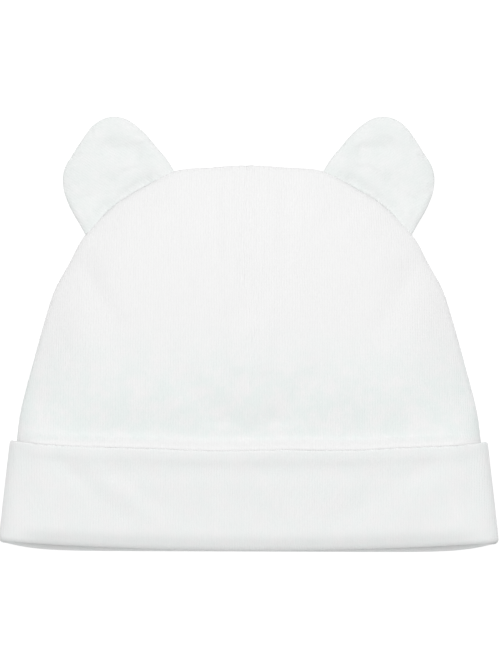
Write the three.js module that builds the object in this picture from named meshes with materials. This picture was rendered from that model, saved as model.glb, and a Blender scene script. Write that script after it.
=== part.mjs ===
// A baby's hat of white cotton jersey with two bear ears, lying on its back with its front up.
// Millimetres. +X is the right of the front view, +Y runs from the rim to the ears, +Z is up from the table.
import * as THREE from "three";

// Cloth
const CROWN_WALL = 1.2; // soft interlock jersey
const CUFF_WALL = 1.8; // the band is folded double
const EAR_THICK = 3.0; // two layers and the turned-in seam between them
const SEAM_GAP = 0.3; // between panels that are sewn edge to edge
const SEAM_SPREAD = 4; // the back is pressed down by half that gap only this near the seam
const CUFF_GAP = 0.5; // between the crown and the cuff turned up over it
const LIP_GAP = 0.4; // between the crown's lower edge and the lip inside the cuff that it is sewn to

// Cuff
const CUFF_HEIGHT = 34;
const RIM_HALF_WIDTH = 84; // where the rim curves are measured to
const FRONT_RIM = { low: 1.1, rise: 2.7, power: 2 }; // the front rim's smile, from centre to corner
const BACK_RIM = { low: 0.0, rise: 3.5, power: 10 }; // the back rim is straight and turns up at its corners
const RIM_TILT = -0.3; // the hat lies a little askew: its right corner is lower by this much
const TURN_HEIGHT = 5; // the turned-in lip, up to the seam that joins it to the crown
const SLOT_FLOOR = 1; // the slot between the lip and the cuff ends this far above the rim's roll

// How the hat lies: heights above the table
const SIDE_SEAM = { rim: 7.2, top: 4.4, over: 75 }; // the outline seam sinks over this length from the rim
const EDGE_ROUND = { front: 14, back: 11 }; // width of the rounded border beside the outline seam
const FRONT_RISE = { rim: 5.2, middle: 9, top: 6.4 }; // height of that border on the front
const DOME = { height: 6, reach: 62 }; // the front's broad swell, full this far in from the outline
const RIM_SAG = { share: 0.7, over: 62 }; // towards the rim the swell loses this share of its height
const CUFF_STACK = CUFF_WALL + CUFF_GAP; // the cuff under the back lifts the crown by this much
const DRAPE = { from: 41, over: 14 }; // beyond the cuff the back sinks to the table

// Half of the crown's outline as it lies, from below the rim to the middle of the top.
const CROWN_OUTLINE = [
  { x: 83.4, y: -8 },
  { x: 82.8, y: 2 },
  { x: 80.9, y: 20 },
  { x: 78.9, y: 37.5 },
  { x: 77.3, y: 49 },
  { x: 73.1, y: 65.3 },
  { x: 69.3, y: 79 },
  { x: 66.0, y: 89.1 },
  { x: 61.0, y: 98.3 },
  { x: 55.8, y: 107.6 },
  { x: 45.6, y: 118 },
  { x: 35.0, y: 124.6 },
  { x: 24.8, y: 129.7 },
  { x: 12, y: 130.9 },
  { x: 0, y: 131.6 },
];
const CORNER_X = 47; // the panel's grid turns from its side to its top here

// One ear, in its own frame: along its base from the crown's middle outwards, and out from that base.
const EAR_BASE = { inner: 25.4, outer: 55.6 }; // x of the two ends of the base, on the crown's outline
const EAR_OUTLINE = [
  { along: -18.9, out: 7 },
  { along: -18.8, out: 14.5 },
  { along: -17.6, out: 21.3 },
  { along: -15.4, out: 25.2 },
  { along: -11.9, out: 28.0 },
  { along: -7.3, out: 29.0 },
  { along: -2.8, out: 28.4 },
  { along: 2.5, out: 25.8 },
  { along: 8.5, out: 23.7 },
  { along: 12.4, out: 21.6 },
  { along: 15.1, out: 17.9 },
  { along: 16.9, out: 12.3 },
  { along: 17.9, out: 6.4 },
];
const EAR_CORNERS = { inner: 3, outer: 11 }; // points of the whole ear outline where its sides meet its top
const EAR_EDGE_ROUND = 2.6;
const EAR_TIP_FALL = 22; // the ear has sunk to the table this far out

// Folds and dents: a soft line from one point to another, its half width and its height.
// A valley's height is negative.
const CROWN_FOLDS = [
  { name: "dart seam, upper", x0: -0.4, y0: 132, x1: -1.0, y1: 88, width: 1.8, height: -1.0 },
  { name: "dart seam, lower", x0: -1.0, y0: 88, x1: 1.4, y1: 54, width: 1.8, height: -0.8 },
  { name: "seam allowance, left", x0: -6.5, y0: 130, x1: -3.5, y1: 74, width: 3.6, height: 0.5 },
  { name: "seam allowance, right", x0: 6.5, y0: 130, x1: 4, y1: 74, width: 3.6, height: 0.5 },
  { name: "dart tip", x0: 1, y0: 60, x1: 1, y1: 50, width: 7, height: 0.8 },
  { name: "hollow under the dart, left", x0: -24, y0: 58, x1: -4, y1: 46, width: 5, height: -0.8 },
  { name: "hollow under the dart, right", x0: 24, y0: 60, x1: 6, y1: 46, width: 5, height: -0.8 },
  { name: "drag line from the ear, left", x0: -58, y0: 100, x1: -42, y1: 72, width: 4.5, height: -1.0 },
  { name: "drag line from the ear, right", x0: 56, y0: 96, x1: 44, y1: 76, width: 4.5, height: -0.9 },
  { name: "swell beside it, left", x0: -66, y0: 88, x1: -52, y1: 66, width: 6, height: 0.6 },
  { name: "swell beside it, right", x0: 66, y0: 88, x1: 54, y1: 68, width: 6, height: 0.6 },
  { name: "hollow above the cuff", x0: -66, y0: 45.5, x1: 66, y1: 45.5, width: 4.5, height: -0.8 },
];
const CUFF_FOLDS = [
  { name: "crease, left", x0: -64, y0: 31, x1: -42, y1: 13, width: 3.6, height: -0.55 },
  { name: "ridge beside it, left", x0: -54, y0: 30, x1: -30, y1: 10, width: 4.5, height: 0.5 },
  { name: "crease, right", x0: 60, y0: 30, x1: 36, y1: 14, width: 3.6, height: -0.5 },
  { name: "ridge beside it, right", x0: 68, y0: 26, x1: 46, y1: 9, width: 4.5, height: 0.45 },
  { name: "hollow under the top edge", x0: -50, y0: 30, x1: 50, y1: 30, width: 3.2, height: -0.35 },
];
const EAR_WAVES = { length: 15, height: 0.35, fade: 6 }; // ripples parallel to the ear's base
const FOLD_FADE = 9; // folds fade out this near the outline
const FOLD_START = { from: 41, over: 4 }; // and where the crown goes in under the cuff

// Grid sizes: how finely each cloth piece is divided
const FRONT_GRID = { across: 36, up: 28 };
const BACK_GRID = { across: 24, up: 18 };
const CUFF_GRID = { front: 36, back: 24, bend: 4 };
const CUFF_FACE_ROWS = [30, 25.5, 20.5, 15, 9.5, 5]; // heights of the grid rows on the cuff's outer face
const EAR_GRID = { across: 12, up: 9 };
const OUTLINE_STEPS = 260;
const ON_OUTLINE = 0.02; // a point this near the outline is on it

const WHITE_JERSEY = { color: 0xf3f4f3, roughness: 0.95, metalness: 0 };

const smooth = (t) => THREE.MathUtils.smoothstep(t, 0, 1);
const { lerp, clamp } = THREE.MathUtils;

// The crown's whole outline, from the right of the rim over the top to the left.
const outline = new THREE.SplineCurve([
  ...CROWN_OUTLINE.map(({ x, y }) => new THREE.Vector2(x, y)),
  ...CROWN_OUTLINE.slice(0, -1)
    .reverse()
    .map(({ x, y }) => new THREE.Vector2(-x, y)),
]);
outline.arcLengthDivisions = 800;
const outlinePoints = outline.getSpacedPoints(OUTLINE_STEPS);

// Where the right half of the outline first meets a condition, as a share of its length.
function findOnOutline(reached) {
  let low = 0;
  let high = 0.5;
  for (let k = 0; k < 40; k += 1) {
    const middle = (low + high) / 2;
    if (reached(outline.getPointAt(middle))) high = middle;
    else low = middle;
  }
  return high;
}

// The nearest place on a line of points: how far it is, and the way out across the line.
function nearestOn(line, x, y) {
  const best = { distance: Infinity, out: new THREE.Vector2() };
  const point = new THREE.Vector2(x, y);
  for (let k = 0; k + 1 < line.length; k += 1) {
    const span = line[k + 1].clone().sub(line[k]);
    const share = clamp(point.clone().sub(line[k]).dot(span) / span.lengthSq(), 0, 1);
    const distance = line[k].clone().addScaledVector(span, share).distanceTo(point);
    if (distance < best.distance) {
      best.distance = distance;
      best.out.set(span.y, -span.x).normalize();
    }
  }
  return best;
}

function foldHeight(folds, x, y) {
  return folds.reduce((sum, fold) => {
    const along = new THREE.Vector2(fold.x1 - fold.x0, fold.y1 - fold.y0);
    const from = new THREE.Vector2(x - fold.x0, y - fold.y0);
    const share = clamp(from.dot(along) / along.lengthSq(), 0, 1);
    const away = from.addScaledVector(along, -share).length() / fold.width;
    return sum + fold.height * Math.exp(-away * away);
  }, 0);
}

// The outside of the crown without its folds: a point of the cloth and the way out of the hat there.
// The border beside the outline is a quarter of an ellipse, so front and back meet upright at the seam.
function crownSkin(side, x, y) {
  const edge = nearestOn(outlinePoints, x, y);
  const inset = edge.distance < ON_OUTLINE ? 0 : edge.distance;
  const round = EDGE_ROUND[side];
  const cosine = 1 - Math.min(inset / round, 1);
  const sine = Math.sqrt(1 - cosine * cosine);
  const seam = lerp(SIDE_SEAM.rim, SIDE_SEAM.top, smooth(y / SIDE_SEAM.over));
  const up = side === "front" ? 1 : -1;
  const lifted = smooth(y / RIM_SAG.over);
  const topY = CROWN_OUTLINE.at(-1).y;
  let rise = lerp(FRONT_RISE.rim, FRONT_RISE.middle, lifted);
  rise += (FRONT_RISE.top - FRONT_RISE.middle) * smooth((y - RIM_SAG.over) / (topY - RIM_SAG.over));
  let swell = 0;
  if (side === "front") {
    const deep = Math.min(inset / DOME.reach, 1);
    swell = DOME.height * deep * (2 - deep) * (1 - RIM_SAG.share * (1 - lifted));
  } else {
    rise = seam - CUFF_STACK * (1 - smooth((y - DRAPE.from) / DRAPE.over));
  }
  const out = new THREE.Vector3(
    (edge.out.x * cosine) / round,
    (edge.out.y * cosine) / round,
    (up * sine) / rise,
  ).normalize();
  return { point: new THREE.Vector3(x, y, seam + up * rise * sine + swell), out, inset };
}

// A closed surface put together from quads. Corners that coincide are one vertex.
class ClosedSurface {
  constructor() {
    this.vertices = [];
    this.triangles = [];
    this.known = new Map();
  }
  vertex(point) {
    const key = point.toArray().map((v) => v.toFixed(4)).join();
    if (!this.known.has(key)) {
      this.known.set(key, this.vertices.length / 3);
      this.vertices.push(point.x, point.y, point.z);
    }
    return this.known.get(key);
  }
  triangle(...points) {
    const [a, b, c] = points.map((p) => this.vertex(p));
    if (a !== b && b !== c && c !== a) this.triangles.push(a, b, c);
  }
  quad(a, b, c, d) {
    this.triangle(a, b, c);
    this.triangle(a, c, d);
  }
  geometry() {
    const made = new THREE.BufferGeometry();
    made.setAttribute("position", new THREE.Float32BufferAttribute(this.vertices, 3));
    made.setIndex(this.triangles);
    made.computeVertexNormals();
    return made;
  }
}

// A cloth piece as a closed wall: an upper and a lower grid of points, joined round their border.
function clothWall({ across, up }, upper, lower) {
  const surface = new ClosedSurface();
  for (let j = 0; j < up; j += 1) {
    for (let i = 0; i < across; i += 1) {
      surface.quad(upper(i, j), upper(i + 1, j), upper(i + 1, j + 1), upper(i, j + 1));
      surface.quad(lower(i, j), lower(i, j + 1), lower(i + 1, j + 1), lower(i + 1, j));
    }
  }
  const border = [];
  for (let i = 0; i < across; i += 1) border.push([i, 0]);
  for (let j = 0; j < up; j += 1) border.push([across, j]);
  for (let i = across; i > 0; i -= 1) border.push([i, up]);
  for (let j = up; j >= 0; j -= 1) border.push([0, j]);
  for (let k = 0; k + 1 < border.length; k += 1) {
    const [from, to] = [border[k], border[k + 1]];
    surface.quad(lower(...from), lower(...to), upper(...to), upper(...from));
  }
  return surface.geometry();
}

// A four-sided patch of the plane between its bottom, top, left and right edge lines (a Coons patch).
function patch({ bottom, top, left, right }) {
  const corners = [bottom(0), bottom(1), top(0), top(1)];
  return (u, v) =>
    bottom(u)
      .multiplyScalar(1 - v)
      .addScaledVector(top(u), v)
      .addScaledVector(left(v), 1 - u)
      .addScaledVector(right(v), u)
      .addScaledVector(corners[0], -(1 - u) * (1 - v))
      .addScaledVector(corners[1], -u * (1 - v))
      .addScaledVector(corners[2], -(1 - u) * v)
      .addScaledVector(corners[3], -u * v);
}

const mirrored = (p) => new THREE.Vector2(-p.x, p.y);

function rimHeight(rim, x) {
  const across = x / RIM_HALF_WIDTH;
  return rim.low + rim.rise * Math.abs(across) ** rim.power + RIM_TILT * across;
}

// The share of the outline at a height above the rim, on the right (hand 1) or on the left (hand -1).
const outlineAbove = (rim, height, hand) =>
  findOnOutline((p) => p.y >= rimHeight(rim, hand * p.x) + height);

// The two ends of a line that runs across the hat at a height above the rim.
function widthAbove(rim, height) {
  const [left, right] = [-1, 1].map((hand) => hand * outline.getPointAt(outlineAbove(rim, height, hand)).x);
  return { left, right };
}

// Crown: a front and a back panel of jersey, sewn together along the outline.
// Each starts at the seam inside the rim, where the cuff's lip is sewn on.
function crownPatch(rim) {
  const start = TURN_HEIGHT + LIP_GAP;
  const ends = widthAbove(rim, start);
  const corner = findOnOutline((p) => p.x <= CORNER_X);
  return patch({
    right: (v) => outline.getPointAt(lerp(outlineAbove(rim, start, 1), corner, v)),
    left: (v) => mirrored(outline.getPointAt(lerp(outlineAbove(rim, start, -1), corner, v))),
    top: (u) => outline.getPointAt(lerp(1 - corner, corner, u)),
    bottom: (u) => {
      const x = lerp(ends.left, ends.right, u);
      return new THREE.Vector2(x, rimHeight(rim, x) + start);
    },
  });
}

// Grid lines crowd where the cloth curves most: at both borders, and at the middle where the dart is.
const crowdedAtMiddleAndEnds = (t) => 0.5 + 0.5 * Math.sign(t - 0.5) * smooth(Math.abs(2 * t - 1));
const crowdedAtEnds = (t) => 0.5 - 0.5 * Math.cos(Math.PI * t);
const crowdedAtTop = (t) => 1 - (1 - t) ** 1.5;

function crownFront() {
  const place = crownPatch(FRONT_RIM);
  const lay = (i, j, depth) => {
    const u = crowdedAtMiddleAndEnds(i / FRONT_GRID.across);
    const { x, y } = place(u, crowdedAtTop(j / FRONT_GRID.up));
    const skin = crownSkin("front", x, y);
    const free = smooth(skin.inset / FOLD_FADE) * smooth((y - FOLD_START.from) / FOLD_START.over);
    const fold = free * foldHeight(CROWN_FOLDS, x, y);
    skin.point.z += fold + SEAM_GAP / 2;
    return skin.point.addScaledVector(skin.out, -depth);
  };
  return clothWall(
    FRONT_GRID,
    (i, j) => lay(i, j, 0),
    (i, j) => lay(i, j, CROWN_WALL),
  );
}

function crownBack() {
  const place = crownPatch(BACK_RIM);
  const lay = (i, j, depth) => {
    const { x, y } = place(crowdedAtEnds(i / BACK_GRID.across), crowdedAtTop(j / BACK_GRID.up));
    const skin = crownSkin("back", x, y);
    skin.point.z -= (SEAM_GAP / 2) * (1 - smooth(skin.inset / SEAM_SPREAD));
    return skin.point.addScaledVector(skin.out, -depth);
  };
  return clothWall(
    BACK_GRID,
    (i, j) => lay(i, j, CROWN_WALL),
    (i, j) => lay(i, j, 0),
  );
}

// Cuff: a band of jersey folded double. It is sewn to the crown inside the rim, rolls over at the rim
// and is turned up over the outside.
// Its section is drawn by out (from the crown's outside) and up (from the rim).
function cuffSection() {
  const points = [];
  const arc = (out, up, radius, from, to, steps) => {
    for (let k = 0; k <= steps; k += 1) {
      const angle = THREE.MathUtils.degToRad(lerp(from, to, k / steps));
      points.push({ out: out + radius * Math.cos(angle), up: up + radius * Math.sin(angle) });
    }
  };
  const rollRadius = (CUFF_STACK + CROWN_WALL) / 2;
  const edgeRadius = CUFF_WALL / 2;
  arc(CUFF_STACK - rollRadius, rollRadius, rollRadius, 0, -180, CUFF_GRID.bend);
  points.push({ out: -CROWN_WALL, up: TURN_HEIGHT });
  points.push({ out: 0, up: TURN_HEIGHT });
  points.push({ out: 0, up: rollRadius + SLOT_FLOOR });
  points.push({ out: CUFF_GAP, up: rollRadius + SLOT_FLOOR });
  points.push({ out: CUFF_GAP, up: CUFF_HEIGHT / 2 });
  arc(CUFF_STACK - edgeRadius, CUFF_HEIGHT - edgeRadius, edgeRadius, 180, 0, CUFF_GRID.bend);
  CUFF_FACE_ROWS.forEach((up) => points.push({ out: CUFF_STACK, up, folded: true }));
  return points;
}

function cuff() {
  const section = cuffSection();
  // The stations run along the front from left to right and along the back from right to left.
  // The two corners belong to the back.
  const stations = [];
  for (let k = 1; k < CUFF_GRID.front; k += 1) {
    const angle = Math.PI * (k / CUFF_GRID.front - 0.5);
    stations.push({ side: "front", rim: FRONT_RIM, across: Math.sin(angle) });
  }
  for (let k = 0; k <= CUFF_GRID.back; k += 1) {
    const angle = Math.PI * (0.5 - k / CUFF_GRID.back);
    stations.push({ side: "back", rim: BACK_RIM, across: Math.sin(angle) });
  }
  const lay = ({ side, rim, across }, { out, up, folded }) => {
    const ends = widthAbove(rim, up);
    const x = lerp(ends.left, ends.right, (1 + across) / 2);
    const y = rimHeight(rim, x) + up;
    const skin = crownSkin(side, x, y);
    const onFront = folded && side === "front" ? smooth(skin.inset / FOLD_FADE) : 0;
    return skin.point.addScaledVector(skin.out, out + onFront * foldHeight(CUFF_FOLDS, x, y));
  };
  const rings = stations.map((station) => section.map((corner) => lay(station, corner)));
  const surface = new ClosedSurface();
  rings.forEach((ring, k) => {
    const next = rings[(k + 1) % rings.length];
    ring.forEach((point, m) => {
      const after = (m + 1) % ring.length;
      surface.quad(point, ring[after], next[after], next[m]);
    });
  });
  return surface.geometry();
}

// Ears: two layers sewn round and turned, so each is a thin pad with a round edge, set in the outline seam.
// side is 1 for the ear on the right and -1 for the one on the left.
function ear(side) {
  const shares = {
    inner: findOnOutline((p) => p.x <= EAR_BASE.inner),
    outer: findOnOutline((p) => p.x <= EAR_BASE.outer),
  };
  const [inner, outer] = [shares.inner, shares.outer].map((share) => outline.getPointAt(share));
  const along = outer.clone().sub(inner).normalize();
  const out = new THREE.Vector2(-along.y, along.x);
  const middle = inner.clone().add(outer).multiplyScalar(0.5);
  const fromCrown = (share) => {
    const tangent = outline.getTangentAt(share);
    return outline.getPointAt(share).add(new THREE.Vector2(tangent.y, -tangent.x).multiplyScalar(SEAM_GAP));
  };
  const free = new THREE.SplineCurve([
    fromCrown(shares.inner),
    ...EAR_OUTLINE.map((p) => middle.clone().addScaledVector(along, p.along).addScaledVector(out, p.out)),
    fromCrown(shares.outer),
  ]);
  const last = free.points.length - 1;
  const [low, high] = [EAR_CORNERS.inner / last, EAR_CORNERS.outer / last];
  const place = patch({
    bottom: (u) => fromCrown(lerp(shares.inner, shares.outer, u)),
    top: (u) => free.getPoint(lerp(low, high, u)),
    left: (v) => free.getPoint(lerp(0, low, v)),
    right: (v) => free.getPoint(lerp(1, high, v)),
  });
  const freeEdge = free.getPoints(OUTLINE_STEPS / 2);
  const seam = SIDE_SEAM.top;
  const lay = (i, j, up) => {
    const u = crowdedAtEnds(i / EAR_GRID.across);
    const onFreeEdge = i === 0 || i === EAR_GRID.across || j === EAR_GRID.up;
    const { x, y } = place(u, crowdedAtTop(j / EAR_GRID.up));
    const distance = onFreeEdge ? 0 : nearestOn(freeEdge, x, y).distance;
    const cosine = 1 - Math.min(distance / EAR_EDGE_ROUND, 1);
    const half = (EAR_THICK / 2) * Math.sqrt(1 - cosine * cosine);
    const reach = new THREE.Vector2(x, y).sub(middle).dot(out);
    const ripple = Math.sin((2 * Math.PI * reach) / EAR_WAVES.length) * EAR_WAVES.height;
    const wave = ripple * smooth(distance / EAR_WAVES.fade);
    const centre = lerp(seam, EAR_THICK / 2, smooth(reach / EAR_TIP_FALL));
    return new THREE.Vector3(side * x, y, centre + up * half + (up > 0 ? wave : 0));
  };
  // The columns run from the crown's middle outwards, so the mirrored ear reads its grid backwards.
  const column = (i) => (side < 0 ? EAR_GRID.across - i : i);
  return clothWall(
    EAR_GRID,
    (i, j) => lay(column(i), j, 1),
    (i, j) => lay(column(i), j, -1),
  );
}

const hat = new THREE.Group();
const pieces = {
  crown_front: crownFront(),
  crown_back: crownBack(),
  cuff: cuff(),
  ear_left: ear(-1),
  ear_right: ear(1),
};
for (const [name, geometry] of Object.entries(pieces)) {
  const mesh = new THREE.Mesh(geometry, new THREE.MeshStandardMaterial(WHITE_JERSEY));
  mesh.name = name;
  hat.add(mesh);
}

// The origin is on the table under the middle of the hat.
const size = new THREE.Box3().setFromObject(hat);
hat.position.y = -(size.min.y + size.max.y) / 2;

export default hat;
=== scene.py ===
import math

import bmesh
import bpy
import numpy as np
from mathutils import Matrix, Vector, kdtree, noise


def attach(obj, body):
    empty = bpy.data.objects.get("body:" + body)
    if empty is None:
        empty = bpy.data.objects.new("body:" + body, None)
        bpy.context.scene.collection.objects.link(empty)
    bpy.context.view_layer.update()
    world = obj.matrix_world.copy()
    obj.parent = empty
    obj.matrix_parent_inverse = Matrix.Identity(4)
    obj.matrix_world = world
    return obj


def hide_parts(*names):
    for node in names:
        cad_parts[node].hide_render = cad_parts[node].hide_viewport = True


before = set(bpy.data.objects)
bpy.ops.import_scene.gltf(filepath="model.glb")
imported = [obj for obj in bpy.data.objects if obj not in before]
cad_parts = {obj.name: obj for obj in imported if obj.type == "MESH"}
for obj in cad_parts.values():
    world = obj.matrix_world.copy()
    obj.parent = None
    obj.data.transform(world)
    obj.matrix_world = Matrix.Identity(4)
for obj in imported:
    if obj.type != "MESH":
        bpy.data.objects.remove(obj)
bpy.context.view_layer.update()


# Camera
# The photograph looks straight down at the hat on its table, from so far off that nothing converges.
CAMERA_AT = (0.00044, -0.00006, 1.206)
HAT_MIDDLE_HEIGHT = 0.006
FRAME_HEIGHT = 0.22746  # metres of the table from the top of the frame to its bottom
SENSOR = 36.0

camera_data = bpy.data.cameras.new("camera")
camera_data.sensor_width = SENSOR
camera_data.lens = SENSOR * (CAMERA_AT[2] - HAT_MIDDLE_HEIGHT) / FRAME_HEIGHT
camera = bpy.data.objects.new("camera", camera_data)
camera.location = CAMERA_AT
bpy.context.collection.objects.link(camera)
bpy.context.scene.camera = camera


# Front panel
# The crown's front is one panel of brushed interlock jersey. A dart is sewn down its middle, which gives
# the dome, and its border is turned in along the seam to the back panel.
# Its sizes are in millimetres, with Y measured up from the rim.
MM = 0.001
HAT_MIDDLE_Y = 74.109  # the frame's origin is this far above the rim
CLOTH_WALL = 1.2
CUFF_STACK = 2.3  # the turned-up cuff and the air under it
SEAM_LIP = 0.7  # radius of the border where it turns in to the seam
SEAM_SLIT = 0.08  # half of what stays open between the two borders
LIP_STEPS = 4
WELD = 1e-6  # metres: corners nearer than this are one
LINE_STEPS = 60  # places on a smooth line from one of its points to the next

RIM_HALF_WIDTH = 84.0
RIM_TILT = -0.3  # the hat lies a little askew, so its right corner is lower
FRONT_RIM = {"low": 1.1, "rise": 2.7, "power": 2}
BACK_RIM = {"low": 0.0, "rise": 3.5, "power": 10}
PANEL_START = 5.4  # the panels start this far above the rim, at the seam inside the cuff
SIDE_SEAM = {"rim": 7.2, "top": 4.4, "over": 75.0}
EDGE_ROUND = {"front": 14.0, "back": 11.0}
LENS = {"reach": 27.0, "bead": 1.8, "bead_share": 0.12, "from": 38.0, "over": 16.0}
FRONT_RISE = {"rim": 5.2, "middle": 9.0, "top": 6.4}
DOME = {"height": 6.0, "reach": 62.0}
RIM_SAG = {"share": 0.7, "over": 62.0}
DRAPE = {"from": 41.0, "over": 14.0}
RIM_FALL = {"height": 2.1, "over": 7.5}  # the front bends down towards the table just above the rim

# Half of the crown's outline as it lies, from below the rim to the middle of the top: x, y.
CROWN_OUTLINE = [
    (83.4, -8), (82.8, 2), (80.9, 20), (78.9, 37.5), (77.3, 49), (73.1, 65.3), (69.3, 79), (66.0, 89.1),
    (61.0, 98.3), (55.8, 107.6), (45.6, 118), (35.0, 124.6), (24.8, 129.7), (12, 130.9), (0, 131.6),
]
CORNER_X = 47.0  # the panel's grid turns from its side to its top here

# Folds and dents: a soft line from one point to another, its half width and its height.
# A valley's height is negative.
CROWN_FOLDS = [
    {"name": "left allowance", "from": (-7.5, 129), "to": (-4.4, 64), "width": 3.2, "height": 0.6},
    {"name": "right allowance", "from": (8.6, 129), "to": (5.4, 64), "width": 3.4, "height": 0.55},
    {"name": "left of it", "from": (-12, 122), "to": (-11, 104), "width": 3.4, "height": -0.3},
    {"name": "right of it", "from": (14, 122), "to": (11, 102), "width": 3.4, "height": -0.3},
    {"name": "dart tip", "from": (1.2, 74), "to": (1.4, 49), "width": 6.0, "height": 0.55},
    {"name": "hollow below the tip", "from": (-9, 44), "to": (11, 44), "width": 5.0, "height": -0.3},
    {"name": "left hollow under the dart", "from": (-22, 58), "to": (-9, 46), "width": 5, "height": -0.5},
    {"name": "right hollow under the dart", "from": (22, 59), "to": (10, 46), "width": 5, "height": -0.5},
    {"name": "left drag line", "from": (-57, 98), "to": (-44, 78), "width": 3.4, "height": -0.5},
    {"name": "lower left drag line", "from": (-52, 86), "to": (-43, 68), "width": 5.0, "height": -0.25},
    {"name": "right drag line", "from": (56, 96), "to": (45, 78), "width": 4.0, "height": -0.5},
    {"name": "lower right drag line", "from": (50, 84), "to": (43, 66), "width": 5.0, "height": -0.2},
    {"name": "left swell", "from": (-66, 88), "to": (-52, 66), "width": 6, "height": 0.3},
    {"name": "right swell", "from": (66, 88), "to": (54, 68), "width": 6, "height": 0.3},
]
# Above the cuff's edge the cloth first swells against it and then dips: measured up from that edge.
CUFF_HEIGHT = 34.0
EDGE_WANDER = {"length": 24.0, "height": 0.45}
ABOVE_CUFF = [
    {"at": 0.0, "height": 2.5, "below": 0.7, "beyond": 2.6},
    {"at": 4.0, "height": -0.6, "below": 1.5, "beyond": 9.0},
]
FOLD_FADE = 9.0
FOLD_START = {"from": 41.0, "over": 4.0}
# The dart's seam wanders as it was sewn: y and x from the top of the crown to the dart's tip.
DART_SEAM = [(133, -0.4), (118, -0.3), (104, -1.3), (92, -1.2), (80, 0.1), (68, 1.2), (58, 1.3), (48, 1.6)]
DART = {"tip": 50.0, "fade": 9.0, "stitch": 2.7, "pucker": 0.05, "pucker_reach": 3.0, "out_of_step": 0.9}
# The stitching pulls the cloth into short grooves: how far beside the seam, how wide, deep and long.
DART_GROOVES = [
    {"beside": 0.0, "half_width": 0.42, "depth": 0.3, "length": 5.0},
    {"beside": -1.25, "half_width": 0.4, "depth": 0.24, "length": 4.0},
    {"beside": 1.2, "half_width": 0.4, "depth": 0.24, "length": 4.5},
    {"beside": 2.4, "half_width": 0.45, "depth": 0.2, "length": 5.5},
]
# Each groove is broken by soft noise: how strong it is, its level, and what is always there of the depth.
DART_BREAKS = {"height": 2.4, "level": 9.0, "always": 0.25}
DART_SWAY = 14.0  # the cloth this near the seam goes along with its wandering
OUTLINE_PUCKER = {"pitch": 3.1, "height": 0.03, "reach": 3.0}
SOFT_UNEVEN = [{"length": 26.0, "height": 0.32}, {"length": 11.0, "height": 0.12}]
FRONT_GRID = {"columns": 236, "rows": 156}
# How far apart the front's rows of corners are at each height: close at the cuff's edge and at the seam.
FRONT_ROWS = {
    "height": [5.4, 27, 32, 43, 52, 110, 124, 131.6],
    "apart": [2.6, 2.6, 0.42, 0.42, 1.1, 1.1, 0.4, 0.3],
}
FRONT_ROW_SAMPLES = 500
MIDDLE_COLUMNS = 0.3  # how far apart the front's columns are at the dart, against their mean


def smooth(t):
    t = np.clip(t, 0.0, 1.0)
    return t * t * (3 - 2 * t)


def blend(a, b, t):
    return a + (b - a) * t


def smooth_line(points, steps):
    """Evenly spaced places on a smooth line (Catmull-Rom) through the points, and its length up to each."""
    p = np.array([points[0], *points, points[-1]], float)
    t = np.linspace(0, 1, steps, endpoint=False)[:, None]
    parts = []
    for a, b, c, d in zip(p, p[1:], p[2:], p[3:]):
        pull_b, pull_c = (c - a) / 2, (d - b) / 2
        square = 3 * (c - b) - 2 * pull_b - pull_c
        cube = 2 * (b - c) + pull_b + pull_c
        parts.append(b + pull_b * t + square * t**2 + cube * t**3)
    line = np.vstack([*parts, p[-1:]])
    length = np.concatenate([[0], np.cumsum(np.linalg.norm(np.diff(line, axis=0), axis=1))])
    return line, length


class Line:
    """A smooth line that is asked for a place on it, or how far inside it a point is."""

    def __init__(self, points):
        self.line, self.length = smooth_line(points, LINE_STEPS)
        self.total = self.length[-1]
        along = np.gradient(self.line, axis=0)
        self.out = np.stack([along[:, 1], -along[:, 0]], 1) / np.linalg.norm(along, axis=1)[:, None]
        self.tree = kdtree.KDTree(len(self.line))
        for k, (x, y) in enumerate(self.line):
            self.tree.insert((x, y, 0), k)
        self.tree.balance()

    def at(self, share):
        s = np.asarray(share) * self.total
        return np.stack([np.interp(s, self.length, self.line[:, axis]) for axis in (0, 1)], -1)

    def nearest(self, x, y):
        """How far inside the line each point is, the way out there, and the length along the line."""
        found = np.array([self.tree.find((a, b, 0))[1] for a, b in zip(x, y)])
        out = self.out[found]
        inset = ((self.line[found] - np.stack([x, y], 1)) * out).sum(1)
        return np.maximum(inset, 0), out, self.length[found]


outline = Line(CROWN_OUTLINE + [(-x, y) for x, y in CROWN_OUTLINE[-2::-1]])
right_half = outline.length <= outline.total / 2


def rim_height(rim, x):
    across = x / RIM_HALF_WIDTH
    return rim["low"] + rim["rise"] * np.abs(across) ** rim["power"] + RIM_TILT * across


def outline_share_above(rim, height, hand):
    """The share of the outline where its right side (hand 1) or left side (-1) is this high above the rim."""
    x, y = outline.line[right_half].T
    return np.interp(height, y - rim_height(rim, hand * x), outline.length[right_half] / outline.total)


def fold_height(folds, x, y):
    height = np.zeros_like(x)
    for fold in folds:
        start, along = np.array(fold["from"], float), np.subtract(fold["to"], fold["from"])
        share = np.clip(((x - start[0]) * along[0] + (y - start[1]) * along[1]) / (along @ along), 0, 1)
        away = np.hypot(x - start[0] - share * along[0], y - start[1] - share * along[1])
        height += fold["height"] * np.exp(-((away / fold["width"]) ** 2))
    return height


def unevenness(x, y, waves, level=0.0):
    """The cloth's soft low waves, each with its length and its height."""
    height = np.zeros_like(x)
    for wave in waves:
        spots = zip(x / wave["length"], y / wave["length"])
        height += wave["height"] * np.array([noise.noise(Vector((a, b, level))) for a, b in spots])
    return height


def round_rise(inset, width):
    """How high a quarter ellipse has risen this far in from its edge, and how steeply it rises there."""
    cosine = 1 - np.minimum(inset / width, 1)
    sine = np.sqrt(1 - cosine**2)
    return sine, cosine / (width * np.maximum(sine, 1e-3))


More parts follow.
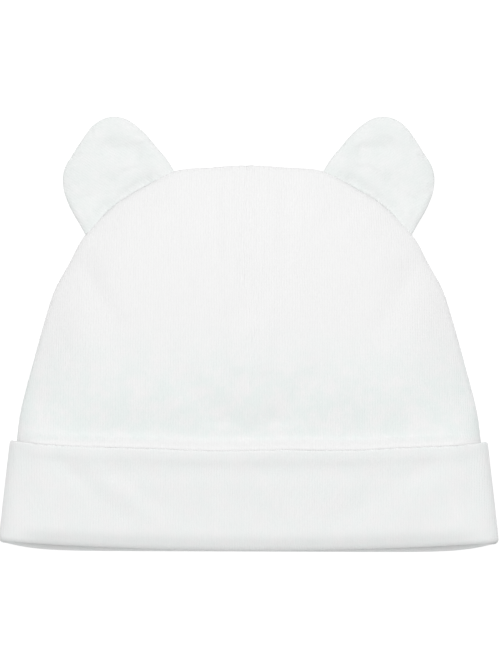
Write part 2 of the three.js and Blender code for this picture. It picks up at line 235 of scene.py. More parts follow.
def crown_skin(side, x, y, lip=0.0):
    """The outside of the crown without its folds: the place, the way out of the hat, and how it was cut.

    Beside the outline it is a quarter of an ellipse, so front and back meet upright at the seam. Above the
    cuff the front is flatter there: a small bead along the seam, and then a long shallow rise.
    """
    inset, edge_out, along = outline.nearest(x, y)
    width = EDGE_ROUND[side]
    cosine = 1 - np.minimum(inset / width, 1)
    share, slope = round_rise(inset, width)
    seam = blend(SIDE_SEAM["rim"], SIDE_SEAM["top"], smooth(y / SIDE_SEAM["over"]))
    if side == "front":
        up = 1.0
        bead, bead_slope = round_rise(inset, LENS["bead"])
        rest = 1 - np.minimum(inset / LENS["reach"], 1)
        lens = blend(1 - rest**2, bead, LENS["bead_share"])
        lens_slope = blend(2 * rest / LENS["reach"], bead_slope, LENS["bead_share"])
        free = smooth((y - LENS["from"]) / LENS["over"])
        share, slope = blend(share, lens, free), blend(slope, lens_slope, free)
        lifted = smooth(y / RIM_SAG["over"])
        rise = blend(FRONT_RISE["rim"], FRONT_RISE["middle"], lifted)
        beyond = smooth((y - RIM_SAG["over"]) / (CROWN_OUTLINE[-1][1] - RIM_SAG["over"]))
        rise = rise + (FRONT_RISE["top"] - FRONT_RISE["middle"]) * beyond
        deep = np.minimum(inset / DOME["reach"], 1)
        swell = DOME["height"] * deep * (2 - deep) * (1 - RIM_SAG["share"] * (1 - lifted))
        fall = (1 - smooth((y - rim_height(FRONT_RIM, x)) / RIM_FALL["over"])) ** 2
        swell = swell - RIM_FALL["height"] * fall * smooth(inset / width)
    else:
        up = -1.0
        rise = seam - CUFF_STACK * (1 - smooth((y - DRAPE["from"]) / DRAPE["over"]))
        swell = 0.0
    rise = rise - lip
    z = seam + up * (lip + rise * share) + swell
    out = np.column_stack([edge_out * (slope * rise)[:, None], up + 0 * rise])
    out /= np.linalg.norm(out, axis=1)[:, None]
    # The rounded border is longer than it looks from above, so on the flat cloth it lies further out.
    turns = np.linspace(0, math.pi / 2, 64)
    step = np.hypot(np.mean(rise) * np.cos(turns), width * np.sin(turns))
    arc = np.concatenate([[0], np.cumsum((step[1:] + step[:-1]) / 2 * np.diff(turns))])
    from_seam = np.interp(np.arccos(np.clip(cosine, 0, 1)), turns, arc)
    flat = np.column_stack([x, y]) + edge_out * (arc[-1] - from_seam - np.maximum(width - inset, 0))[:, None]
    return {"point": np.column_stack([x, y, z]), "out": out, "inset": inset, "edge_out": edge_out,
            "along": along, "flat": flat, "from_seam": from_seam + np.maximum(inset - width, 0)}


def crown_patch(rim):
    """Where the panel's grid lies seen from above, between its bottom, top, left and right edges."""
    start = {hand: outline_share_above(rim, PANEL_START, hand) for hand in (-1, 1)}
    x, shares = outline.line[right_half][:, 0], outline.length[right_half] / outline.total
    corner = np.interp(-CORNER_X, -x, shares)
    ends = {hand: hand * outline.at(start[hand])[0] for hand in (-1, 1)}

    def side(hand, v):
        return outline.at(blend(start[hand], corner, v)) * [hand, 1]

    def top(u):
        return outline.at(blend(1 - corner, corner, u))

    def bottom(u):
        across = blend(ends[-1], ends[1], u)
        return np.stack([across, rim_height(rim, across) + PANEL_START], -1)

    def place(u, v):
        a, b = u[:, None], v[:, None]
        corners = bottom(0.0) * (1 - a) * (1 - b) + bottom(1.0) * a * (1 - b)
        corners = corners + top(0.0) * (1 - a) * b + top(1.0) * a * b
        sides = bottom(u) * (1 - b) + top(u) * b + side(-1, v) * (1 - a) + side(1, v) * a
        return (sides - corners).T

    return place


def grid_of_cloth(columns, rows, lay):
    """A grid of cloth as an open sheet, and the other side of its wall where lay gives one.

    lay takes each corner's column and row and gives its place in the hat, its place on the flat cloth,
    and its place on the wall's inner side or None.
    """
    cloth = bmesh.new()
    bmesh.ops.create_grid(cloth, x_segments=columns, y_segments=rows, size=0.5)
    cloth.verts.ensure_lookup_table()
    shares = np.array([vert.co[:2] for vert in cloth.verts]) + 0.5
    i, j = np.rint(shares[:, 0] * columns), np.rint(shares[:, 1] * rows)
    outer, flat, inner = lay(i, j)
    cut = cloth.loops.layers.uv.new("cloth")
    corner = cloth.verts.layers.int.new("corner")
    for vert in cloth.verts:
        vert[corner] = vert.index
        vert.co = (outer[vert.index] - (0, HAT_MIDDLE_Y, 0)) * MM
    for face in cloth.faces:
        for loop in face.loops:
            loop[cut].uv = flat[loop.vert.index] * MM
    if inner is not None:
        made = bmesh.ops.extrude_face_region(cloth, geom=cloth.faces[:], use_keep_orig=True)["geom"]
        for vert in made:
            if isinstance(vert, bmesh.types.BMVert):
                vert.co = (inner[vert[corner]] - (0, HAT_MIDDLE_Y, 0)) * MM
    cloth.verts.layers.int.remove(corner)
    bmesh.ops.remove_doubles(cloth, verts=cloth.verts[:], dist=WELD)
    bmesh.ops.recalc_face_normals(cloth, faces=cloth.faces[:])
    # The operators leave edges and faces in another order each run, and a simulation would feel that.
    count = len(cloth.verts)
    cloth.verts.index_update()

    def order(part):
        first, second, *others = sorted(vert.index for vert in part.verts)
        return (first * count + second) * count + (others[0] if others else 0)

    cloth.edges.sort(key=order)
    cloth.faces.sort(key=order)
    return cloth


def dart_x(y):
    seam_y, seam_x = np.array(DART_SEAM[::-1]).T
    return np.interp(y, seam_y, seam_x)


def panel(side, rim, grid, spread_u, spread_v, relief):
    """One crown panel: its wall follows the crown's skin and turns in to the seam along its border."""
    place = crown_patch(rim)
    up = 1.0 if side == "front" else -1.0

    def lay(i, j):
        inner_columns, inner_rows = grid["columns"] - 2 * LIP_STEPS, grid["rows"] - LIP_STEPS
        u = spread_u(np.clip((i - LIP_STEPS) / inner_columns, 0, 1))
        v = spread_v(np.clip(j / inner_rows, 0, 1))
        ring = np.maximum.reduce([LIP_STEPS - i, i - (grid["columns"] - LIP_STEPS), j - inner_rows, 0 * i])
        turn = ring / LIP_STEPS * math.pi / 2
        x, y = place(u, v)
        if side == "front":
            x = x + dart_x(y) * np.exp(-((x / DART_SWAY) ** 2))
        skin = crown_skin(side, x, y, lip=SEAM_LIP + SEAM_SLIT)
        outer = skin["point"] + relief(skin)
        inner = outer - CLOTH_WALL * skin["out"]
        sideways = np.column_stack([skin["edge_out"], 0 * x])
        outer -= (SEAM_LIP * (1 - np.cos(turn)))[:, None] * sideways
        outer[:, 2] -= up * SEAM_LIP * np.sin(turn)
        inner[:, 2] -= up * SEAM_LIP * np.sin(turn)
        return outer, skin["flat"], inner

    return grid_of_cloth(grid["columns"], grid["rows"], lay)


def seam_pucker(skin, seam):
    """Small gathers beside a seam, one to each stitch, that fade out into the cloth."""
    beat = np.cos(2 * math.pi * skin["along"] / seam["pitch"])
    return seam["height"] * beat * np.exp(-((skin["from_seam"] / seam["reach"]) ** 2))


def cuff_edge(x):
    """How high the cuff's folded edge lies at x: it follows the rim and wanders a little."""
    wander = unevenness(x, 0 * x, [{"length": EDGE_WANDER["length"], "height": EDGE_WANDER["height"]}])
    return rim_height(FRONT_RIM, x) + CUFF_HEIGHT + wander


def front_relief(skin):
    x, y = skin["point"][:, 0], skin["point"][:, 1]
    inward = smooth(skin["inset"] / FOLD_FADE)
    free = inward * smooth((y - FOLD_START["from"]) / FOLD_START["over"])
    height = free * (fold_height(CROWN_FOLDS, x, y) + unevenness(x, y, SOFT_UNEVEN))
    above = y - cuff_edge(x)
    for swell in ABOVE_CUFF:
        reach = np.where(above < swell["at"], swell["below"], swell["beyond"])
        height += inward * swell["height"] * np.exp(-(((above - swell["at"]) / reach) ** 2))
    away = x - dart_x(y)
    sewn = smooth((y - DART["tip"]) / DART["fade"])
    for number, groove in enumerate(DART_GROOVES):
        waves = [{"length": groove["length"], "height": DART_BREAKS["height"]}]
        broken = unevenness(0 * y, y, waves, level=number + DART_BREAKS["level"])
        depth = groove["depth"] * np.clip(DART_BREAKS["always"] + broken, 0, 1)
        height -= sewn * depth * np.exp(-(((away - groove["beside"]) / groove["half_width"]) ** 2))
    beat = np.cos(2 * math.pi * y / DART["stitch"] + DART["out_of_step"] * np.sign(away))
    height += sewn * DART["pucker"] * beat * np.exp(-((away / DART["pucker_reach"]) ** 2))
    height += seam_pucker(skin, OUTLINE_PUCKER)
    return skin["out"] * height[:, None]


def crowded_at_middle_and_ends(t):
    twice = (1 - MIDDLE_COLUMNS / 2) * np.sin(4 * math.pi * t) / (4 * math.pi)
    once = MIDDLE_COLUMNS / 2 * np.sin(2 * math.pi * t) / (2 * math.pi)
    return t - twice - once


def rows_as_spaced(t):
    height = np.linspace(FRONT_ROWS["height"][0], FRONT_ROWS["height"][-1], FRONT_ROW_SAMPLES)
    rows = np.cumsum(1 / np.interp(height, FRONT_ROWS["height"], FRONT_ROWS["apart"]))
    share = (rows - rows[0]) / (rows[-1] - rows[0])
    return np.interp(t, share, np.linspace(0, 1, FRONT_ROW_SAMPLES))


# The knit, in wales and courses: how high a course is for a wale's width, how far the wales wander, how the
# stitches slant, and how much of the relief the loops, the legs, the channel between wales and the nap make.
STITCH = {
    "course": 0.62, "wander_scale": 90.0, "wander": 1.6, "slant": 1.4, "loops": 0.22, "legs": 0.35,
    "channel": 0.65, "share": 0.75, "nap_scale": 2600.0, "nap": 0.5,
}
COOL_PATCHES = {"scale": 150.0, "none": 0.36, "full": 0.6}
# Painted shade down between the wales: where the knit's relief lies between these heights the white is
# darkened, to the given share of light at the lowest.
VALLEY_PAINTED_SHADE = {"low": 0.1, "high": 0.8, "light": 0.975}  # between these heights of the relief, and their light


def knit(name, plain, cool, painted_shade_band=None, wale=0.85, turned=0.0, depth=0.09):
    """Brushed white cotton interlock: fine upright wales of small stitches under a soft nap.

    plain is its white and cool the fainter, cooler white that it takes in patches, as a random tone: all
    over, or only within its band, which holds the heights in the hat (Y in metres) at which it is none, full,
    full and none. On the crown that band lies across the lower part, and there the cooler, darker white is
    painted shade. wale is the width of one wale and depth that of the stitches, both in millimetres, and
    turned how far the cloth's grain leans, in degrees.
    """
    material = bpy.data.materials.new(name)
    material.use_nodes = True
    nodes, links = material.node_tree.nodes, material.node_tree.links
    shader = nodes["Principled BSDF"]
    shader.inputs["Roughness"].default_value = 0.95
    shader.inputs["Specular IOR Level"].default_value = 0.15
    shader.inputs["Sheen Weight"].default_value = 0.0
    shader.inputs["Sheen Roughness"].default_value = 0.6

    def node(kind, **settings):
        made = nodes.new(kind)
        for key, value in settings.items():
            if key in made.inputs:
                made.inputs[key].default_value = value
            else:
                setattr(made, key, value)
        return made

    def maths(operation, a, b=0.0):
        made = node("ShaderNodeMath", operation=operation)
        for socket, value in zip(made.inputs, (a, b)):
            if isinstance(value, (int, float)):
                socket.default_value = value
            else:
                links.new(value, socket)
        return made.outputs[0]

    # The cloth's own measure in wales across and in courses up
    cut = node("ShaderNodeUVMap", uv_map="cloth")
    lean = node("ShaderNodeMapping")
    lean.inputs["Rotation"].default_value = (0, 0, math.radians(turned))
    lean.inputs["Scale"].default_value = (1 / (wale * MM), 1 / (STITCH["course"] * wale * MM), 1)
    links.new(cut.outputs["UV"], lean.inputs["Vector"])
    wander = node("ShaderNodeTexNoise", Scale=STITCH["wander_scale"], Detail=2.0)
    links.new(cut.outputs["UV"], wander.inputs["Vector"])
    axes = node("ShaderNodeSeparateXYZ")
    links.new(lean.outputs["Vector"], axes.inputs["Vector"])
    across = maths("ADD", axes.outputs["X"], maths("MULTIPLY", wander.outputs["Fac"], STITCH["wander"]))
    in_wale = maths("FRACT", across)
    from_middle = maths("ABSOLUTE", maths("SUBTRACT", in_wale, 0.5))
    legs = maths("ABSOLUTE", maths("SINE", maths("MULTIPLY", in_wale, 2 * math.pi)))
    channel = maths("SINE", maths("MULTIPLY", in_wale, math.pi))
    slanted = maths("ADD", axes.outputs["Y"], maths("MULTIPLY", from_middle, STITCH["slant"]))
    loops = maths("MULTIPLY", maths("COSINE", maths("MULTIPLY", slanted, 2 * math.pi)), STITCH["loops"])
    between = maths("ADD", maths("MULTIPLY", channel, STITCH["channel"]), loops)
    stitch = maths("ADD", maths("MULTIPLY", legs, STITCH["legs"]), between)

    nap = node("ShaderNodeTexNoise", Scale=STITCH["nap_scale"], Detail=3.0, Roughness=0.65)
    links.new(cut.outputs["UV"], nap.inputs["Vector"])
    fuzz = maths("MULTIPLY", nap.outputs["Fac"], STITCH["nap"])
    relief = maths("ADD", maths("MULTIPLY", stitch, STITCH["share"]), fuzz)
    bump = node("ShaderNodeBump", Strength=1.0, Distance=depth * MM)
    links.new(relief, bump.inputs["Height"])
    links.new(bump.outputs["Normal"], shader.inputs["Normal"])

    # Colour: a cooler white in small patches, on the crown only in a band of painted shade low on it, and a
    # little painted shade down between the wales
    patches = node("ShaderNodeTexNoise", Scale=COOL_PATCHES["scale"], Detail=3.0, Roughness=0.6)
    links.new(cut.outputs["UV"], patches.inputs["Vector"])
    patchy = {"From Min": COOL_PATCHES["none"], "From Max": COOL_PATCHES["full"]}
    share = node("ShaderNodeMapRange", **patchy)
    links.new(patches.outputs["Fac"], share.inputs["Value"])
    share = share.outputs["Result"]
    # Painted shade: on the crown the cooler, darker white is held to a band across its lower part, above the
    # cuff.
    if painted_shade_band:
        place = node("ShaderNodeSeparateXYZ")
        links.new(node("ShaderNodeTexCoord").outputs["Object"], place.inputs["Vector"])
        for none, full in (painted_shade_band[:2], painted_shade_band[:1:-1]):
            fade = node("ShaderNodeMapRange", **{"From Min": none, "From Max": full})
            links.new(place.outputs["Y"], fade.inputs["Value"])
            share = maths("MULTIPLY", share, fade.outputs["Result"])
    tone = node("ShaderNodeMix", data_type="RGBA")
    tone.inputs["A"].default_value = (*plain, 1)
    tone.inputs["B"].default_value = (*cool, 1)
    links.new(share, tone.inputs["Factor"])
    # Painted shade: the white is darkened where the knit's relief is low, down between the wales.
    shaded = {"From Min": VALLEY_PAINTED_SHADE["low"], "From Max": VALLEY_PAINTED_SHADE["high"], "To Min": VALLEY_PAINTED_SHADE["light"]}
    valley = node("ShaderNodeMapRange", **shaded)
    links.new(relief, valley.inputs["Value"])
    shade = node("ShaderNodeMix", data_type="RGBA", blend_type="MULTIPLY")
    shade.inputs["Factor"].default_value = 1.0
    links.new(tone.outputs["Result"], shade.inputs["A"])
    links.new(valley.outputs["Result"], shade.inputs["B"])
    links.new(shade.outputs["Result"], shader.inputs["Base Color"])
    return material


def finished(cloth, name, node, material):
    """Makes the cloth a smooth piece that stands for its node and rides on the hat."""
    mesh = bpy.data.meshes.new(name)
    cloth.to_mesh(mesh)
    cloth.free()
    mesh.polygons.foreach_set("use_smooth", [True] * len(mesh.polygons))
    mesh.materials.append(material)
    piece = bpy.data.objects.new(name, mesh)
    bpy.context.collection.objects.link(piece)
    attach(piece, "root")
    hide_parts(node)
    return piece


CROWN_WHITE = (0.815, 0.815, 0.815)
# Painted shade: the crown's cooler, darker white, held to a band across its lower part just above the cuff;
# the band gives the heights (Y in metres) at which it is none, full, full and none.
CROWN_PAINTED_SHADE_WHITE = (0.765, 0.806, 0.795)
CROWN_PAINTED_SHADE_BAND = (0.005, -0.018, -0.0345, -0.0365)
crown_jersey = knit("crown_jersey", CROWN_WHITE, CROWN_PAINTED_SHADE_WHITE, painted_shade_band=CROWN_PAINTED_SHADE_BAND)
front_cloth = panel("front", FRONT_RIM, FRONT_GRID, crowded_at_middle_and_ends, rows_as_spaced, front_relief)
front = finished(front_cloth, "front_panel", "crown_front", crown_jersey)


# Back panel
# The crown's back is a plain panel of the same jersey, sewn to the front round its whole outline.
# It lies flat on the table and rises a little where the cuff runs under it.
BACK_GRID = {"columns": 150, "rows": 112}
BACK_UNEVEN = [{"length": 30.0, "height": 0.25}]
BACK_DRAWN_IN = 0.2  # how far the cloth keeps off the table between its waves
TOP_CROWDING = 1.7


def back_relief(skin):
    x, y = skin["point"][:, 0], skin["point"][:, 1]
    free = smooth(skin["inset"] / FOLD_FADE) * smooth((y - FOLD_START["from"]) / FOLD_START["over"])
    height = -free * (BACK_DRAWN_IN + unevenness(x, y, BACK_UNEVEN, level=4.0))
    height += seam_pucker(skin, OUTLINE_PUCKER)
    return skin["out"] * height[:, None]


def crowded_at_ends(t):
    return 0.5 - 0.5 * np.cos(math.pi * t)


def crowded_at_top(t):
    return 1 - (1 - t) ** TOP_CROWDING


back_cloth = panel("back", BACK_RIM, BACK_GRID, crowded_at_ends, crowded_at_top, back_relief)
back = finished(back_cloth, "back_panel", "crown_back", crown_jersey)


# Cuff
# A band of the jersey folded double. Its lip is sewn to the crown inside the rim, then it rolls over at
# the rim and is turned up over the outside, where its folded top edge lies free.
CUFF_WALL = 1.8
CUFF_GAP = 0.5  # between the crown and the cuff turned up over it
LIP_HEIGHT = 5.0
SLOT_FLOOR = 1.0
EDGE_BEAD = {"height": 0.4, "from": 28.0, "over": 3.5}  # how much fuller the band is at its folded edge
CUFF_STATIONS = {"front": 300, "back": 130}
CUFF_FOLDS = [
    {"name": "left crease", "from": (-64, 31), "to": (-42, 13), "width": 3.2, "height": -0.32},
    {"name": "left ridge", "from": (-54, 30), "to": (-30, 10), "width": 4.5, "height": 0.25},
    {"name": "left dent", "from": (-44, 27), "to": (-30, 16), "width": 3.0, "height": -0.2},
    {"name": "right crease", "from": (60, 30), "to": (36, 14), "width": 3.2, "height": -0.28},
    {"name": "right ridge", "from": (68, 26), "to": (46, 9), "width": 4.5, "height": 0.25},
    {"name": "right dent", "from": (44, 25), "to": (30, 12), "width": 3.0, "height": -0.2},
    {"name": "hollow under the edge", "from": (-58, 27.5), "to": (60, 27.5), "width": 3.2, "height": -0.25},
    {"name": "left side", "from": (-81, 34), "to": (-82, 20), "width": 8, "height": -1.2},
    {"name": "right side", "from": (81, 34), "to": (82, 20), "width": 8, "height": -1.2},
]
CUFF_UNEVEN = [{"length": 20.0, "height": 0.25}, {"length": 8.0, "height": 0.1}]
CUFF_BACK_PRESSED = 0.15  # by the weight of the hat
OUTSIDE = {"from": 0.8, "over": 1.2}  # this far out from the crown a corner is on the band's outside
WANDERING = {"from": 20.0, "over": 12.0}  # from this height up the band follows its edge's wandering


def arc(out, up, radius, start, end, steps):
    turns = np.radians(np.linspace(start, end, steps + 1))
    return [(out + radius * math.cos(a), up + radius * math.sin(a)) for a in turns]


def cuff_section():
    """The band's section as rows of out (from the crown's outside) and up (from the rim)."""
    roll = (CUFF_STACK + CLOTH_WALL) / 2
    edge, lip, slot = CUFF_WALL / 2, CLOTH_WALL / 2, CUFF_GAP / 2
    section = arc(CUFF_STACK - roll, roll, roll, 0, -180, 16)
    section += [(-CLOTH_WALL, up) for up in (2.6, 3.5)]
    section += arc(-lip, LIP_HEIGHT - lip, lip, 180, 0, 8)
    section += [(0.0, 3.6)]
    section += arc(slot, roll + SLOT_FLOOR + slot, slot, -180, 0, 4)
    section += [(CUFF_GAP, up) for up in np.linspace(4, CUFF_HEIGHT - 2, 14)]
    section += arc(CUFF_STACK - edge, CUFF_HEIGHT - edge, edge, 180, 0, 12)
    section += [(CUFF_STACK, up) for up in np.linspace(CUFF_HEIGHT - 1.7, roll + 0.6, 36)]
    return np.array(section)


def cuff_stations():
    """Where the section stands round the rim: along the front to the right, then along the back."""
    front, back = CUFF_STATIONS["front"], CUFF_STATIONS["back"]
    turns = [math.pi * (k / front - 0.5) for k in range(1, front)]
    turns += [math.pi * (0.5 - k / back) for k in range(back + 1)]
    on_front = np.arange(len(turns)) < front - 1
    return np.sin(turns), on_front


section = cuff_section()
across_rim, on_front = cuff_stations()


def lay_cuff(i, j):
    station = i.astype(int) % len(across_rim)
    corner = j.astype(int) % len(section)
    out, up = section[corner].T
    points, flats = np.zeros((len(i), 3)), np.zeros((len(i), 2))
    closed = np.vstack([section, section[:1]])
    round_section = np.concatenate([[0], np.cumsum(np.linalg.norm(np.diff(closed, axis=0), axis=1))])
    for side, rim in (("front", FRONT_RIM), ("back", BACK_RIM)):
        here = on_front[station] == (side == "front")
        height = up[here]
        left, right = (hand * outline.at(outline_share_above(rim, height, hand))[:, 0] for hand in (-1, 1))
        x = blend(left, right, (1 + across_rim[station[here]]) / 2)
        wander = cuff_edge(x) - CUFF_HEIGHT - rim_height(FRONT_RIM, x)
        follows = smooth((height - WANDERING["from"]) / WANDERING["over"])
        y = rim_height(rim, x) + height + wander * follows
        skin = crown_skin(side, x, y)
        outside = smooth((out[here] - OUTSIDE["from"]) / OUTSIDE["over"])
        free = smooth(skin["inset"] / FOLD_FADE) * outside
        if side == "front":
            relief = free * (fold_height(CUFF_FOLDS, x, y) + unevenness(x, y, CUFF_UNEVEN, level=2.0))
            beaded = smooth((height - EDGE_BEAD["from"]) / EDGE_BEAD["over"])
            relief = relief + free * EDGE_BEAD["height"] * beaded
        else:
            relief = -CUFF_BACK_PRESSED * free
        points[here] = skin["point"] + skin["out"] * (out[here] + relief)[:, None]
        flats[here] = skin["flat"]
    flats[:, 1] = CUFF_HEIGHT - round_section[j.astype(int)]
    return points, flats, None


CUFF_WHITE = (0.817, 0.817, 0.817)
CUFF_COOL_WHITE = (0.797, 0.819, 0.814)
cuff_jersey = knit("cuff_jersey", CUFF_WHITE, CUFF_COOL_WHITE)
cuff_cloth = grid_of_cloth(len(across_rim), len(section), lay_cuff)
cuff = finished(cuff_cloth, "turned_up_cuff", "cuff", cuff_jersey)


# Ears
# Each ear is two layers of jersey, sewn together round its edge and turned, so its edge is round and its
# face softly puffed. Its open base is caught in the crown's outline seam.
EAR_BASE = {"inner": 25.4, "outer": 55.6}
EAR_OUTLINE = [
    (-19.0, 4.3), (-18.7, 9.5), (-18.4, 14.8), (-17.3, 20.5), (-15.7, 24.5), (-13.1, 27.3), (-9.8, 28.9),
    (-5.8, 29.2), (-3.0, 28.6), (1.8, 27.0), (6.3, 25.2), (10.7, 23.2), (13.7, 20.4), (15.8, 16.6),
    (17.0, 12.5), (17.7, 8.0), (18.1, 3.3),
]
EAR_CORNERS = {"inner": 5, "outer": 13}  # where the sides meet the top, counted from the inner base end
EAR_THICK = 3.0
EAR_EDGE_ROUND = 1.7
EAR_EDGE_ROLL = {"inset": 1.9, "width": 0.8, "height": 0.12}  # the seam inside makes the edge fuller
# How it thins towards its seam, and how far and from where it runs in there.
EAR_BASE_PINCH = {"left": 0.6, "reach": 3.4, "tuck": 0.6, "tuck_reach": 1.2}
EAR_TIP_FALL = 22.0
EAR_GRID = {"columns": 84, "rows": 66}
EAR_FOLDS = [
    {"name": "hollow near the tip", "from": (-5, 19), "to": (-11.5, 13.5), "width": 3.8, "height": -1.3},
    {"name": "hollow in the middle", "from": (2, 10), "to": (8, 8), "width": 4.0, "height": -0.7},
    {"name": "hollow along the seam", "from": (-8, 3.0), "to": (8, 3.0), "width": 2.6, "height": -1.0},
    {"name": "raised inner corner", "from": (-16, 2), "to": (-14.5, 5), "width": 3.0, "height": 0.7},
    {"name": "raised outer corner", "from": (15, 2), "to": (14, 5), "width": 3.0, "height": 0.7},
]
EAR_FOLD_FADE = 6.0
EAR_UNEVEN = [{"length": 9.0, "height": 0.2}]
EAR_PUCKER = {"pitch": 2.9, "height": 0.1, "reach": 2.6}
EAR_GRAIN_LEAN = 14.0
EAR_STITCH_DEPTH = 0.06
EAR_WHITE = (0.795, 0.803, 0.8)
EAR_COOL_WHITE = (0.762, 0.79, 0.78)


def ear(hand):
    """hand is 1 for the ear on the right and -1 for the one on the left."""
    shares = outline.length[right_half] / outline.total
    x_right = outline.line[right_half][:, 0]
    inner_share, outer_share = (np.interp(-EAR_BASE[end], -x_right, shares) for end in ("inner", "outer"))
    inner_end, outer_end = outline.at(inner_share), outline.at(outer_share)
    along = (outer_end - inner_end) / np.linalg.norm(outer_end - inner_end)
    out = np.array([-along[1], along[0]])
    middle = (inner_end + outer_end) / 2
    free_edge = [middle + along * a + out * o for a, o in EAR_OUTLINE]
    points = [tuple(p) for p in (inner_end, *free_edge, outer_end)]
    edge = Line(points[::-1])
    knots = (len(points) - 1 - np.array([EAR_CORNERS[end] for end in ("inner", "outer")])) * LINE_STEPS
    low, high = 1 - edge.length[knots] / edge.total

    def side(share):
        return edge.at(1 - share)

    def bottom(u):
        return outline.at(blend(inner_share, outer_share, u))

    def top(u):
        return side(blend(low, high, u))

    def place(u, v):
        a, b = u[:, None], v[:, None]
        corners = bottom(0.0) * (1 - a) * (1 - b) + bottom(1.0) * a * (1 - b)
        corners = corners + top(0.0) * (1 - a) * b + top(1.0) * a * b
        sides = bottom(u) * (1 - b) + top(u) * b
        sides = sides + side(blend(0.0, low, v)) * (1 - a) + side(blend(1.0, high, v)) * a
        return sides - corners

    def lay(i, j):
        columns, rows = EAR_GRID["columns"], EAR_GRID["rows"]
        spots = place(crowded_at_ends(i / columns), crowded_at_top(j / rows))
        x, y = spots.T
        free = (i == 0) | (i == columns) | (j == rows)
        inset, _, _ = edge.nearest(x, y)
        inset = np.where(free, 0, inset)
        cosine = 1 - np.minimum(inset / EAR_EDGE_ROUND, 1)
        from_middle = spots - middle
        a, reach = from_middle @ along, from_middle @ out
        base_inset, _, base_along = outline.nearest(x, y)
        base_line = np.linalg.norm(spots - outline.at(base_along / outline.total), axis=1)
        pinch = 1 - (1 - EAR_BASE_PINCH["left"]) * np.exp(-((base_line / EAR_BASE_PINCH["reach"]) ** 2))
        half = EAR_THICK / 2 * np.sqrt(1 - cosine**2) * pinch
        wave = fold_height(EAR_FOLDS, a, reach)
        wave = wave + unevenness(x * hand, y, EAR_UNEVEN, level=hand + 6.0)
        pucker = EAR_PUCKER["height"] * np.cos(2 * math.pi * base_along / EAR_PUCKER["pitch"])
        wave += pucker * np.exp(-((base_line / EAR_PUCKER["reach"]) ** 2))
        wave *= smooth(inset / EAR_FOLD_FADE)
        from_roll = (inset - EAR_EDGE_ROLL["inset"]) / EAR_EDGE_ROLL["width"]
        wave += EAR_EDGE_ROLL["height"] * np.exp(-(from_roll**2))
        centre = blend(SIDE_SEAM["top"], EAR_THICK / 2, smooth(reach / EAR_TIP_FALL))
        tuck = EAR_BASE_PINCH["tuck"] * np.exp(-((base_line / EAR_BASE_PINCH["tuck_reach"]) ** 2))
        x, y = (spots - out * tuck[:, None]).T
        upper = np.column_stack([hand * x, y, centre + half + wave])
        lower = np.column_stack([hand * x, y, centre - half])
        return upper, np.column_stack([hand * a, reach]), lower

    return grid_of_cloth(EAR_GRID["columns"], EAR_GRID["rows"], lay)


# The simulation that puffs an ear: how much it is enlarged for it, the air pressure, its frames, how far
# from the seam the cloth is held still and how far out it is quite free, and the most that a corner moves.
PUFF = {"enlarged": 10.0, "pressure": 2.2, "frames": 20, "held": 0.5, "free": 10.0, "most": (0.2, 0.2, 1.3)}
PUFF_CLOTH = {
    "quality": 6, "mass": 0.1, "tension_stiffness": 15, "compression_stiffness": 8, "shear_stiffness": 5,
    "bending_stiffness": 1.2, "tension_damping": 10, "compression_damping": 10, "air_damping": 4,
    "use_pressure": True, "uniform_pressure_force": PUFF["pressure"],
}


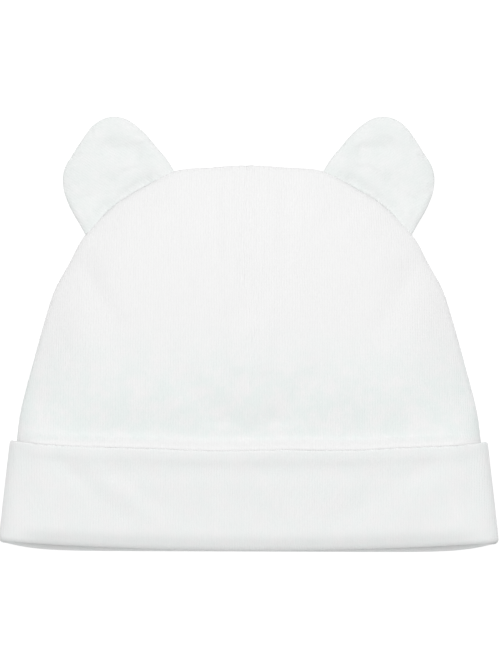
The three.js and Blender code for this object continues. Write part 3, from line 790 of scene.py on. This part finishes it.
def puff(piece):
    """Blows the sewn ear up by a cloth simulation, which swells and wrinkles it, and keeps the result."""
    mesh = piece.data
    start = np.empty(len(mesh.vertices) * 3)
    mesh.vertices.foreach_get("co", start)
    places = start.reshape(-1, 3) / MM + (0, HAT_MIDDLE_Y, 0)
    spots = np.column_stack([np.abs(places[:, 0]), places[:, 1]])
    _, _, along = outline.nearest(*spots.T)
    from_seam = np.linalg.norm(spots - outline.at(along / outline.total), axis=1)
    held = 1 - smooth((from_seam - PUFF["held"]) / (PUFF["free"] - PUFF["held"]))
    sewn = piece.vertex_groups.new(name="sewn")
    for corner in np.flatnonzero(held):
        sewn.add([int(corner)], float(held[corner]), "REPLACE")
    mesh.vertices.foreach_set("co", start * PUFF["enlarged"])
    cloth = piece.modifiers.new("puff", "CLOTH")
    for setting, value in PUFF_CLOTH.items():
        setattr(cloth.settings, setting, value)
    cloth.settings.vertex_group_mass = sewn.name
    cloth.settings.effector_weights.gravity = 0.0
    cloth.collision_settings.use_collision = False
    for number in range(1, PUFF["frames"] + 1):
        bpy.context.scene.frame_set(number)
    blown = np.empty(len(start))
    piece.evaluated_get(bpy.context.evaluated_depsgraph_get()).data.vertices.foreach_get("co", blown)
    piece.modifiers.remove(cloth)
    piece.vertex_groups.remove(sewn)
    bpy.context.scene.frame_set(1)
    most = np.array(PUFF["most"]) * MM
    moved = most * np.tanh((blown / PUFF["enlarged"] - start).reshape(-1, 3) / most)
    puffed = start.reshape(-1, 3) + moved
    puffed[:, 2] = np.maximum(puffed[:, 2], 0.0)  # the table is under it
    mesh.vertices.foreach_set("co", puffed.ravel())
    mesh.update()


for name, node_name, hand in (("left_ear", "ear_left", -1), ("right_ear", "ear_right", 1)):
    lean = EAR_GRAIN_LEAN * hand
    ear_jersey = knit(f"ear_jersey_{name}", EAR_WHITE, EAR_COOL_WHITE, turned=lean, depth=EAR_STITCH_DEPTH)
    piece = finished(ear(hand), name, node_name, ear_jersey)
    puff(piece)


# Table and light
# A white table under a light tent: light comes from all round, and a little more from beyond the ears.
TABLE_SIZE = 4.0
TABLE_WHITE = (0.22, 0.22, 0.22)
TABLE_GLOW = 0.84
TENT_GLOW = 0.45
KEY = {"size": 2.0, "watts": 25.0, "at": (0.0, 0.38, 1.5)}

table = bmesh.new()
bmesh.ops.create_grid(table, x_segments=8, y_segments=8, size=TABLE_SIZE / 2)
table_mesh = bpy.data.meshes.new("table")
table.to_mesh(table_mesh)
table.free()
table_object = bpy.data.objects.new("table", table_mesh)
bpy.context.collection.objects.link(table_object)
table_white = bpy.data.materials.new("table_white")
table_white.use_nodes = True
table_shader = table_white.node_tree.nodes["Principled BSDF"]
table_shader.inputs["Base Color"].default_value = (*TABLE_WHITE, 1)
table_shader.inputs["Roughness"].default_value = 0.9
table_shader.inputs["Emission Color"].default_value = (1, 1, 1, 1)
table_shader.inputs["Emission Strength"].default_value = TABLE_GLOW
table_mesh.materials.append(table_white)

world = bpy.data.worlds.new("light_tent")
world.use_nodes = True
world.node_tree.nodes["Background"].inputs["Color"].default_value = (1.0, 1.0, 1.0, 1)
world.node_tree.nodes["Background"].inputs["Strength"].default_value = TENT_GLOW
bpy.context.scene.world = world
bpy.context.scene.view_settings.view_transform = "Standard"

key_data = bpy.data.lights.new("key", "AREA")
key_data.shape = "SQUARE"
key_data.size = KEY["size"]
key_data.energy = KEY["watts"]
key = bpy.data.objects.new("key", key_data)
key.location = KEY["at"]
key.rotation_euler = (Vector((0, 0, 0)) - key.location).to_track_quat("-Z", "Y").to_euler()
bpy.context.collection.objects.link(key)
